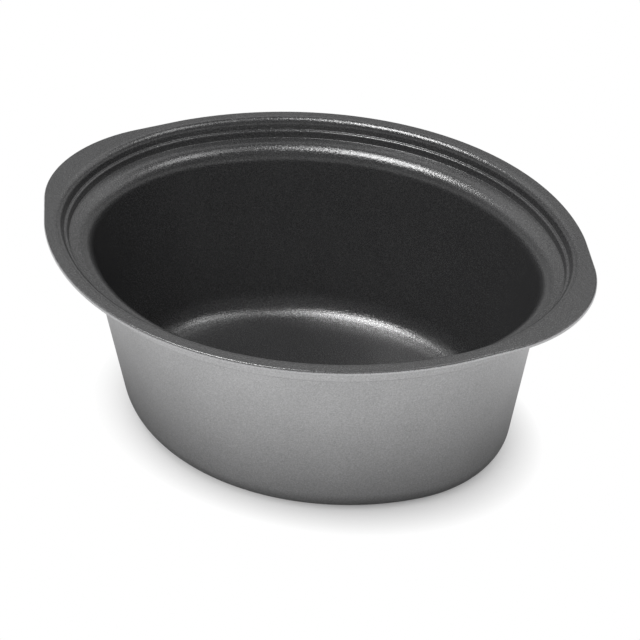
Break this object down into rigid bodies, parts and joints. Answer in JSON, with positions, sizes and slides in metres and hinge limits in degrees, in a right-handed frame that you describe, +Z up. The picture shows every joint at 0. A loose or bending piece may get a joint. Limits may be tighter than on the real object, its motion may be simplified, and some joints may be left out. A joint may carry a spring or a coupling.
{
  "type": "slow cooker pan",
  "caption": "Oval lift-out cooking pan of a slow cooker: cast aluminium with a flat eared flange, a stepped lid seat and a foot ring, a dark release coat inside and a silver-grey coat outside.",
  "frame": {"origin": "middle of the foot ring, on the surface that the pan stands on", "axes": "+Z up, out of the mouth; +X along the long axis of the oval, through both ears; +Y across it"},
  "size_m": [0.364, 0.2924, 0.1369],
  "materials": {
    "bare_aluminium": "cast, ground flat and bare under the foot ring and bare in the recess",
    "release_coat": "dark satin release coat with fine sprayed grain and sparkle",
    "silver_coat": "silver-grey metallic spray with fine flake grain"
  },
  "bodies": {
    "root": {"pan_body": "bare_aluminium", "inside_coat": "release_coat", "outside_coat": "silver_coat"}
  },
  "joints": []
}
